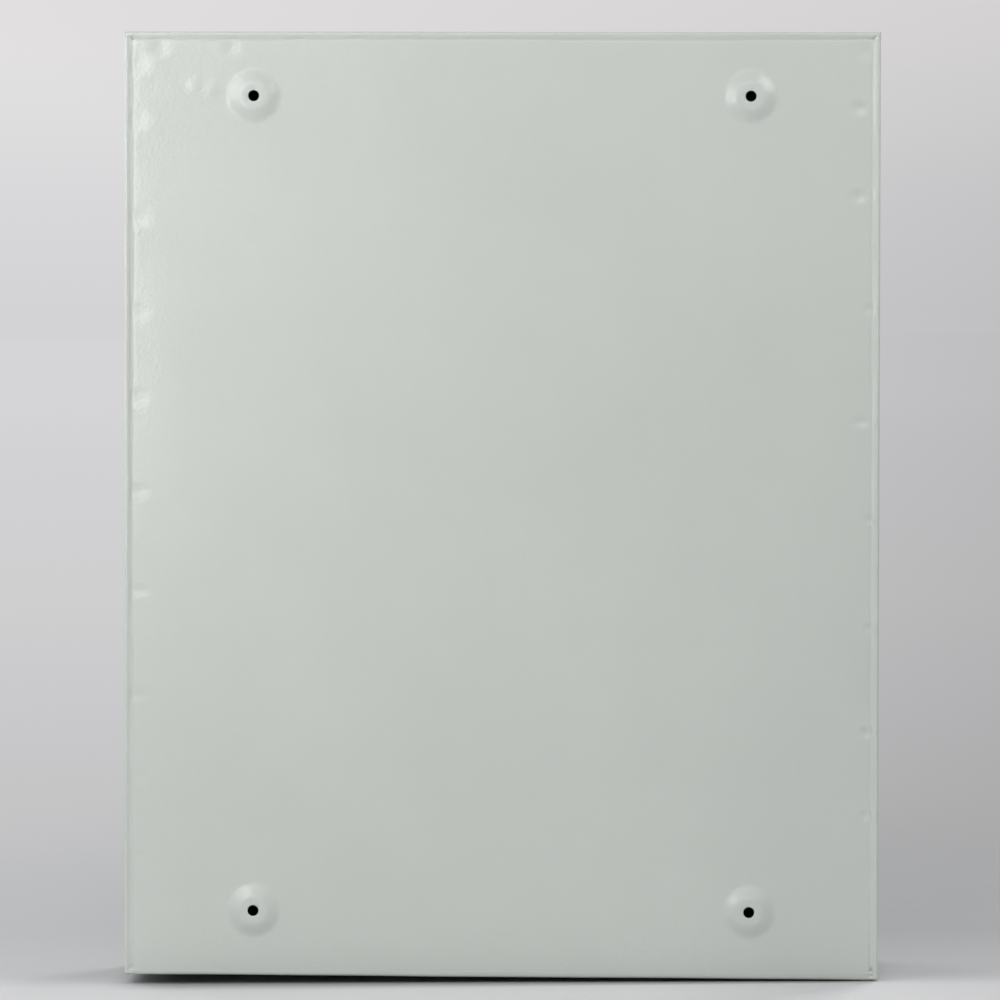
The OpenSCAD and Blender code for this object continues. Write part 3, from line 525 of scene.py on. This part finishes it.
def panel_mesh(name, outer):
    """The panel's outer or inner face: a grid with a round patch at each hole."""
    fine = 1.0 if outer else 4.0
    coarse = (2.6, 1.3) if outer else (12.0, 12.0)
    end_steps = [0.55, 0.25, 0.12, 0.03, 0.0] if outer else [0.0]
    axes = []
    for hole, half, wide in ((HOLE_X, HALF_W, coarse[0]), (HOLE_Z, HALF_H, coarse[1])):
        stops = [(hole - PATCH, wide), (hole + PATCH, fine), (half - 1.0, fine)]
        stops += [(half - e, 1) for e in end_steps]
        axes.append(mirrored(steps(stops)))
    xs, zs = axes
    gx, gz = np.meshgrid(xs, zs, indexing="ij")
    face_y = height(gx, gz) if outer else np.full_like(gx, INNER)
    if outer:
        gx, gz = wandering_edge(gx, gz)
    grid = np.stack([gx, face_y, gz], -1).reshape(-1, 3)
    verts = [grid]
    count = len(grid)
    index = np.arange(count).reshape(len(xs), len(zs))
    cx, cz = (xs[:-1] + xs[1:]) / 2, (zs[:-1] + zs[1:]) / 2
    in_x, in_z = np.abs(np.abs(cx) - HOLE_X) < PATCH, np.abs(np.abs(cz) - HOLE_Z) < PATCH
    faces = [grid_quads(index)[~(in_x[:, None] & in_z[None, :])]]

    # Rows of a patch from its hole outward: radius, and the height where it isn't the sheet's own
    if outer:
        turns = np.linspace(0, math.pi / 2, 6)
        rows = [(HOLE_R, -SHEET)]
        rows += [(HOLE_R + HOLE_LIP - HOLE_LIP * math.cos(a), -HOLE_LIP + HOLE_LIP * math.sin(a))
                 for a in turns]
        rows += [(r, None) for r in BOSS_RADII]
    else:
        rows = [(HOLE_R, -SHEET), (6.3, -SHEET), (11.9, INNER)]
    for hx in (-HOLE_X, HOLE_X):
        for hz in (-HOLE_Z, HOLE_Z):
            ix = [i for i, v in enumerate(xs) if abs(v - hx) < PATCH + 1e-6]
            iz = [i for i, v in enumerate(zs) if abs(v - hz) < PATCH + 1e-6]
            ring = square_ring(index, ix, iz)
            px, pz = grid[ring, 0] - hx, grid[ring, 2] - hz
            far = np.hypot(px, pz)
            ux, uz = px / far, pz / far
            places = [(hx + r * ux, hz + r * uz, y) for r, y in rows]
            if outer:
                # Half way from the last circle to the square
                r = BOSS_RADII[-1]
                places.append((hx + (r * ux + px) / 2, hz + (r * uz + pz) / 2, None))
            last = None
            for x, z, y in places:
                verts.append(np.stack([x, height(x, z) if y is None else np.full_like(x, y), z], -1))
                now = np.arange(count, count + len(x))
                count += len(x)
                if last is not None:
                    faces.append(strip_quads(last, now))
                last = now
            faces.append(strip_quads(last, ring))
    if outer:
        # The sheet's cut edge
        every = square_ring(index, range(len(xs)), range(len(zs)))
        edge = grid[every].copy()
        hangs = edge[:, 2] < -HALF_H - 1
        edge[:, 1] = np.where(hangs, INNER - CUT_EDGE, INNER - 0.1)
        edge[:, 2] += np.where(hangs, TUCK, 0)
        verts.append(edge)
        now = np.arange(count, count + len(every))
        faces.append(np.stack([every, np.roll(every, -1), np.roll(now, -1), now], -1))
    return new_object(name, np.concatenate(verts), np.concatenate(faces), True)


def link(name, data):
    """A new object in the scene."""
    o = bpy.data.objects.new(name, data)
    bpy.context.scene.collection.objects.link(o)
    return o


def new_object(name, verts_mm, faces, smooth):
    """A mesh object from points in millimetres, with its faces made to agree."""
    mesh = bpy.data.meshes.new(name)
    mesh.from_pydata((np.asarray(verts_mm) * MM).tolist(), [], np.asarray(faces).tolist())
    work = bmesh.new()
    work.from_mesh(mesh)
    bmesh.ops.recalc_face_normals(work, faces=work.faces)
    work.to_mesh(mesh)
    work.free()
    mesh.polygons.foreach_set("use_smooth", [smooth] * len(mesh.polygons))
    mesh.update()
    return link(name, mesh)


def turn_outward(o, towards_y):
    """Flips the faces if most of them look the wrong way along Y."""
    mesh = o.data
    total = sum(p.normal.y * p.area for p in mesh.polygons)
    if total * towards_y < 0:
        mesh.flip_normals()


# Paint built up on the rim, in section: distance in from the outline, then Y on three sides
RIM_U = (0.10, 0.25, 0.50, 0.80, 1.15, 1.60, 2.10, 2.70, 3.30, 3.95, 4.50)
RIM_Y = {
    "plus_x": (-2.75, -2.32, -2.04, -1.92, -1.93, -2.12, -2.42, -2.60, -2.68, -2.76, -2.82),
    "minus_x": (-2.85, -2.40, -2.00, -1.85, -1.83, -1.92, -2.06, -2.25, -2.45, -2.64, -2.70),
    "top": (-2.85, -2.45, -2.20, -2.12, -2.11, -2.14, -2.26, -2.52, -2.86, -2.98, -3.02),
}
wall_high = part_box("top_end_wall")[1]
EDGE_W, EDGE_H = wall_high.x / MM, wall_high.z / MM
# Steps up a side strip from its lower end, closer where it turns over the edge
SIDE_STEPS = (0, 0.08, 0.25, 0.5, 0.8, 1.2, 1.8, 2.6, 3.6, 4.8, 6.4)


def rim_mesh(name):
    """Three strips of paint over the rim, mitred at the upper corners. The panel covers the fourth."""
    u = np.array(RIM_U)
    verts, faces, count = [], [], 0
    for side, profile in RIM_Y.items():
        if side == "top":
            along = np.linspace(-1, 1, 190)[:, None] * (EDGE_W - u)[None, :]
            down = np.full_like(along, 99.0)
        else:
            sign = 1 if side == "plus_x" else -1
            end = -HALF_H - over(sign * HALF_W)
            down = np.concatenate([SIDE_STEPS, np.linspace(8, EDGE_H - end - 4, 232)])
            share = down / down[-1]
            along = end + share[:, None] * (EDGE_H - u - end)[None, :]
            down = np.repeat(down[:, None], len(u), 1)
        y = np.repeat(np.array(profile)[None, :], len(along), 0)
        # The middle of the strip rises and falls a little, with a lump beside each weld
        middle = np.sin(np.pi * np.clip((u - 0.6) / 3.0, 0, 1))[None, :]
        y = y + 0.05 * middle * np.sin(along / 9.1) * np.sin(along / 23 + 1)
        for wx, wz, depth, _, _ in welds:
            at = wx if side == "top" else wz
            beside = wz > HALF_H - 8 if side == "top" else wx * sign > HALF_W - 9
            if beside:
                lump, reach = (0.72, 1.8) if side == "minus_x" else (0.3, 5.0)
                y = y + lump * depth * middle * np.exp(-(((along - at) / reach) ** 2))
        # The inner part follows the panel's own edge up and down
        if side == "top":
            edge_y = plain_height(along, np.full_like(along, HALF_H - 2.2))
        else:
            edge_y = plain_height(np.full_like(along, sign * (HALF_W - 2.2)), along)
        y = y + smooth_step((u - 1.5) / 2.2)[None, :] * np.minimum(edge_y - PLATE, 0.15)
        # The lower end of a side strip rises to the crest, turns round the edge and tucks in
        lift = smooth_step(1 - down / 5.5)
        y = y * (1 - lift) + np.maximum(y, CREST) * lift
        near = np.clip(1 - down / 0.8, 0, 1)
        y = INNER + (y - INNER) * np.sqrt(1 - near * near)
        shift = 0.12 * middle * np.sin(along / 37 + 2)
        across = (EDGE_H if side == "top" else EDGE_W) - u[None, :] - shift
        if side == "top":
            block = np.stack([along, y, across], -1)
        else:
            block = np.stack([sign * across, y, along], -1)
            tuck = block[:1].copy()
            tuck[..., 1] = INNER - CUT_EDGE
            tuck[..., 2] += TUCK
            block = np.concatenate([tuck, block])
        n, k = block.shape[:2]
        index = count + np.arange(n * k).reshape(n, k)
        verts.append(block.reshape(-1, 3))
        faces.append(grid_quads(index).reshape(-1, 4))
        count += n * k
    return new_object(name, np.concatenate(verts), np.concatenate(faces), True)


outer = panel_mesh("back_panel_skin", True)
turn_outward(outer, 1)
rim = rim_mesh("rear_rim_paint")
turn_outward(rim, 1)
inner = panel_mesh("back_panel_inside", False)
turn_outward(inner, -1)
for o in (outer, inner, rim):
    o.data.materials.append(shell_paint)
    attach(o, "box")
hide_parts("back_panel")

# ---------------------------------------------------------------- printed marks


def glyphs(items, name, material, body):
    """Joins short marks into one thin raised print. Each item is (text, x, y, z, size), in mm.

    Marks on the door's inner side face +Y, and all others face -Y."""
    parts = []
    turn = math.pi if body == "door_leaf" else 0
    for text, x, y, z, size in items:
        curve = bpy.data.curves.new(name, "FONT")
        curve.body = text
        curve.size = size * MM
        curve.align_x = "CENTER"
        curve.align_y = "CENTER"
        curve.extrude = 0.02 * MM
        curve.resolution_u = 3
        o = link(name, curve)
        o.location = (x * MM, y * MM, z * MM)
        o.rotation_euler = (math.radians(90), 0, turn)
        parts.append(o)
    bpy.ops.object.select_all(action="DESELECT")
    for o in parts:
        o.select_set(True)
    bpy.context.view_layer.objects.active = parts[0]
    bpy.ops.object.convert(target="MESH")
    bpy.ops.object.join()
    joined = bpy.context.object
    bpy.ops.object.transform_apply(location=True, rotation=True, scale=True)
    joined.name = name
    joined.data.materials.clear()
    joined.data.materials.append(material)
    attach(joined, body)


def centre(name):
    """The middle of a CAD node, in mm."""
    a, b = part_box(name)
    return [(p + q) / 2 / MM for p, q in zip(a, b)]


ABOVE = 0.01  # how far a mark's middle stands off its face
BREAKER_GAP = 0.6
shield_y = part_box("dead_front")[1].y / MM - SHEET - ABOVE
first_low, first_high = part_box("breaker_1_case")
breaker_y = first_low.y / MM
pitch = (first_high.z - first_low.z) / MM + BREAKER_GAP
top_z = centre("breaker_1_case")[2]
NUMBER_X = 61.5
ROWS = 6

numbers = []
for row in range(ROWS):
    for side in (-1, 1):
        circuit = 2 * row + (1 if side < 0 else 2)
        numbers.append((str(circuit), side * NUMBER_X, shield_y, top_z - row * pitch, 6))
glyphs(numbers, "circuit_numbers", black_ink, "box")

ratings = {"1": "20", "3": "20", "5_7": "30", "9": "15", "11": "15", "2_4": "50", "6": "20", "8": "15"}
marks = []
for label, amps in ratings.items():
    x, _, z = centre(f"breaker_{label}_case")
    side = 1 if x > 0 else -1
    for text, from_middle, size in (("I", 19.0, 4.2), ("O", 42.5, 4.2), (amps, 49.5, 4.4)):
        marks.append((text, side * from_middle, breaker_y, z, size))
main_z = centre("main_breaker_handle")[2] - 2
for text, x, dz in (("I", -19, 7), ("O", -19, -7), ("100", 18.8, 0)):
    marks.append((text, x, breaker_y, main_z + dz, 5))
glyphs(marks, "breaker_marks", white_ink, "box")

# Faces of a thin block, whose corners are numbered round its lower side and then round its upper side
BLOCK = ((0, 1, 2, 3), (7, 6, 5, 4), (0, 4, 5, 1), (1, 5, 6, 2), (2, 6, 7, 3), (3, 7, 4, 0))


def ruled_lines(name, lines, y, material, body):
    """Thin raised lines on a face that looks along +Y. Each line is (x0, z0, x1, z1, width), in mm."""
    verts, faces = [], []
    for x0, z0, x1, z1, width in lines:
        grow = width / 2
        low_x, high_x = min(x0, x1) - grow, max(x0, x1) + grow
        low_z, high_z = min(z0, z1) - grow, max(z0, z1) + grow
        start = len(verts)
        for depth in (y - 0.02, y + 0.03):
            for x, z in ((low_x, low_z), (high_x, low_z), (high_x, high_z), (low_x, high_z)):
                verts.append((x, depth, z))
        faces += [tuple(start + corner for corner in face) for face in BLOCK]
    o = new_object(name, verts, faces, False)
    o.data.materials.append(material)
    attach(o, body)


# Directory: a heading box, then two columns of six circuits, each with a number and room to write
card_low, card_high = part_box("directory_card")
card_y = card_high.y / MM
card_x = (card_low.x + card_high.x) / 2 / MM
MARGIN = 8
half_card = (card_high.x - card_low.x) / 2 / MM - MARGIN
head_z = card_high.z / MM - MARGIN
first_z = head_z - 24
ROW = 28.5
last_z = first_z - ROWS * ROW
THICK, MEDIUM, THIN, HAIR = 0.7, 0.45, 0.35, 0.2
rules = [(card_x - half_card, z, card_x + half_card, z, THICK) for z in (head_z, last_z)]
for x in (card_x - half_card, card_x, card_x + half_card):
    rules.append((x, first_z if x == card_x else head_z, x, last_z, THICK))
directory = []
for column in (1, -1):
    edge_x = card_x + half_card if column > 0 else card_x
    rules.append((edge_x - 13, first_z, edge_x - 13, last_z, THIN))
    for row in range(ROWS):
        z = first_z - row * ROW
        rules.append((edge_x - half_card, z, edge_x, z, THICK if row == 0 else MEDIUM))
        for down in (ROW - 8.5, ROW - 18):
            rules.append((edge_x - half_card + 4, z - down, edge_x - 17, z - down, HAIR))
        circuit = 2 * row + (1 if column > 0 else 2)
        directory.append((str(circuit), edge_x - 6.5, card_y + ABOVE, z - ROW / 2, 7))
ruled_lines("directory_lines", rules, card_y, black_ink, "door_leaf")
glyphs(directory, "directory_numbers", black_ink, "door_leaf")

# ---------------------------------------------------------------- floor, light, camera

HORIZON = linear(201, 200, 202)
# Tone of the sweep by distance from the object, in metres
SWEEP = [(0.5, linear(178, 178, 179)), (1.2, linear(185, 185, 186)), (2.3, linear(190, 190, 192)),
         (4.2, linear(195, 195, 196)), (8.0, linear(197, 197, 199)), (20.0, HORIZON)]
FAR = 24.0                 # reach of that scale
TABLE = 160
LEAN = math.radians(0.5)   # the box stands a little out of level, so the table leans instead
HALF_FOOT = 0.183
GAP = 0.0006
floor_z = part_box("front_trim")[0].z - GAP
bpy.ops.mesh.primitive_plane_add(size=TABLE, location=(0, 0, floor_z - HALF_FOOT * math.sin(LEAN)),
                                 rotation=(0, LEAN, 0))
floor = bpy.context.object
floor.name = "floor"

ground = Shader("pale_table")
near_tone = ground.ramp(ground.noise(1.3, 3, 0.5),
                        [(0.3, linear(210, 210, 212)), (0.7, linear(215, 215, 217))])
ground.feed(ground.spread(ground.noise(30, 3), 0.5, 0.6), "Roughness")
length = ground.new("ShaderNodeVectorMath", operation="LENGTH")
ground.join(ground.coords, "Object", length, "Vector")
reach = (length, "Value")
place = ground.new("ShaderNodeSeparateXYZ")
ground.join(ground.coords, "Object", place, "Vector")
table_x, table_y = (place, "X"), (place, "Y")

# Painted light and shade: the table's colour is brighter in front of the lamps than past the box, and
# on one side
painted_shade_beyond = ground.spread(table_y, 0.74, 1.0, -0.05, 0.03, smooth=True)
painted_light_sideways = ground.spread(table_x, 0.72, 1.21, -0.4, 0.4)
lit = ground.mixed(1.0, near_tone, painted_shade_beyond, "MULTIPLY")
lit = ground.mixed(1.0, lit, painted_light_sideways, "MULTIPLY")

# Painted shadow: the box's own soft shadow is painted behind it, mostly to the side away from the
# brighter lamps
painted_shadow_behind = ground.spread(table_y, 0.24, 0.0, -0.26, -0.10)
to_one_side = ground.spread(table_x, 1.0, 0.25, -0.25, 0.25)
lit = ground.mixed(ground.math("MULTIPLY", painted_shadow_behind, to_one_side), lit, linear(60, 60, 61))

# The strip of table right before the box is painted paler, a painted light that makes up for the light
# that the box keeps from it.
# Share is how much, from side to side.
strip = ground.spread(table_y, 1.0, 0.0, 0.15, 0.45, smooth=True)
before = ground.spread(table_y, 0.0, 1.0, -0.01, 0.01)
PALER_REACH = 0.3
SHARES = [(0.05, 0.0), (0.233, 0.29), (0.383, 0.63), (0.617, 0.47), (0.767, 0.16), (0.95, 0.0)]
share = ground.ramp(ground.spread(table_x, 0.0, 1.0, -PALER_REACH, PALER_REACH), SHARES)
painted_light_strip = ground.math("MULTIPLY", ground.math("MULTIPLY", strip, before), share)
lit = ground.mixed(painted_light_strip, lit, linear(247, 247, 249))

# Painted shade: a soft shade is painted where the box stands clear of the table, deepest on the side
# that stands highest.
# It stays on this side of the box: the door hangs just as low on the other.
depth = ground.spread(table_x, 0.007, 0.034, -0.18, 0.10)
shade = ground.spread(ground.math("DIVIDE", table_y, depth), 0.45, 0.0, smooth=True)
inside = ground.spread(ground.math("ABSOLUTE", table_x), 1.0, 0.0, 0.155, 0.19)
this_side = ground.spread(table_y, 0.0, 1.0, -0.11, -0.085)
under = ground.math("MULTIPLY", shade, ground.math("MULTIPLY", inside, this_side))
ground.feed(ground.mixed(under, lit, linear(52, 52, 53)), "Base Color")

# Far from the box the table turns into a sweep that glows with painted light in its own tone, a little
# brighter on one side
ROOM = 3.2      # rough distance from the object to where it is seen from
SLANT = 0.065   # half of the view's width, over that distance
tone = ground.ramp(ground.spread(reach, 0, 1, 0, FAR), [(d / FAR, c) for d, c in SWEEP])
slant = ground.math("DIVIDE", table_x, ground.math("ADD", reach, ROOM))
level = ground.spread(slant, 0.86, 1.14, -SLANT, SLANT)
glow = ground.new("ShaderNodeEmission")
ground.join(tone[0], tone[1], glow, "Color")
ground.join(level[0], level[1], glow, "Strength")
haze = ground.spread(reach, 0, 1, 0.3, 1.5, smooth=True)
blend = ground.new("ShaderNodeMixShader")
ground.join(haze[0], haze[1], blend, 0)
ground.join(ground.bsdf, "BSDF", blend, 1)
ground.join(glow, "Emission", blend, 2)
ground.join(blend, "Shader", ground.out, "Surface")
floor.data.materials.append(ground.mat)

# The camera sees a graded backdrop, and everything else is lit by one even tone
AMBIENT = 0.52
world = bpy.data.worlds.new("studio")
bpy.context.scene.world = world
world.use_nodes = True
sky = Nodes(world.node_tree)
split = sky.new("ShaderNodeSeparateXYZ")
sky.join(sky.coords, "Generated", split, "Vector")
# Tone of the backdrop by height above the horizon, which is the sine of the angle
BACKDROP = [(0.0, HORIZON), (0.0165, linear(206, 205, 207)), (0.0285, linear(211, 211, 212)),
            (0.0375, linear(215, 213, 214)), (0.05, linear(219, 215, 218))]
rise = sky.ramp((split, "Z"), BACKDROP)
# One side is brighter than the other, and less so towards the top
fade = sky.spread((split, "Z"), 1.0, 0.42, 0.018, 0.05)
across = sky.spread(sky.math("MULTIPLY", (split, "X"), fade), 0.88, 1.12, -SLANT, SLANT)
seen = sky.new("ShaderNodeBackground")
sky.join(rise[0], rise[1], seen, "Color")
sky.join(across[0], across[1], seen, "Strength")
felt = sky.new("ShaderNodeBackground")
felt.inputs["Color"].default_value = (0.98, 0.99, 1.0, 1)
felt.inputs["Strength"].default_value = AMBIENT
path = sky.new("ShaderNodeLightPath")
pick = sky.new("ShaderNodeMixShader")
sky.join(path, "Is Camera Ray", pick, 0)
sky.join(felt, "Background", pick, 1)
sky.join(seen, "Background", pick, 2)
sky.join(pick, "Shader", sky.new("ShaderNodeOutputWorld"), "Surface")


def soft_light(name, place, aim, size, power):
    """An oblong area light that the camera doesn't see."""
    data = bpy.data.lights.new(name, "AREA")
    data.shape = "RECTANGLE"
    data.size, data.size_y = size
    data.energy = power
    o = link(name, data)
    o.location = place
    o.rotation_euler = (Vector(aim) - Vector(place)).to_track_quat("-Z", "Y").to_euler()
    o.visible_camera = False


soft_light("rear_key", (0.52, 0.32, 0.32), (0, 0, 0), (0.25, 0.5), 0.92)
soft_light("rear_side", (0.33, 0.50, 0.20), (0, 0, 0), (0.12, 0.4), 0.68)
soft_light("rear_fill", (-0.48, 0.40, 0.50), (0, 0, 0), (0.25, 0.4), 1.0)
soft_light("rear_front", (0.3, 3.2, 1.5), (0, 0, 0), (1.5, 1.0), 8.4)
soft_light("door_key", (-0.9, -1.7, 0.9), (0, -0.1, 0), (0.8, 0.8), 16)
soft_light("door_fill", (1.2, -1.5, 0.4), (0, -0.1, 0), (0.8, 0.8), 7)

camera_data = bpy.data.cameras.new("camera")
camera_data.lens = 240
camera_data.sensor_width = 36
camera_data.clip_start = 0.05
camera_data.clip_end = 200
camera = link("camera", camera_data)
camera.location = (-0.0800, 3.1914, 0.0933)
camera.rotation_euler = [math.radians(a) for a in (88.3646, -0.1074, 181.4509)]
bpy.context.scene.camera = camera

bpy.context.scene.view_settings.view_transform = "Standard"

bpy.context.view_layer.update()
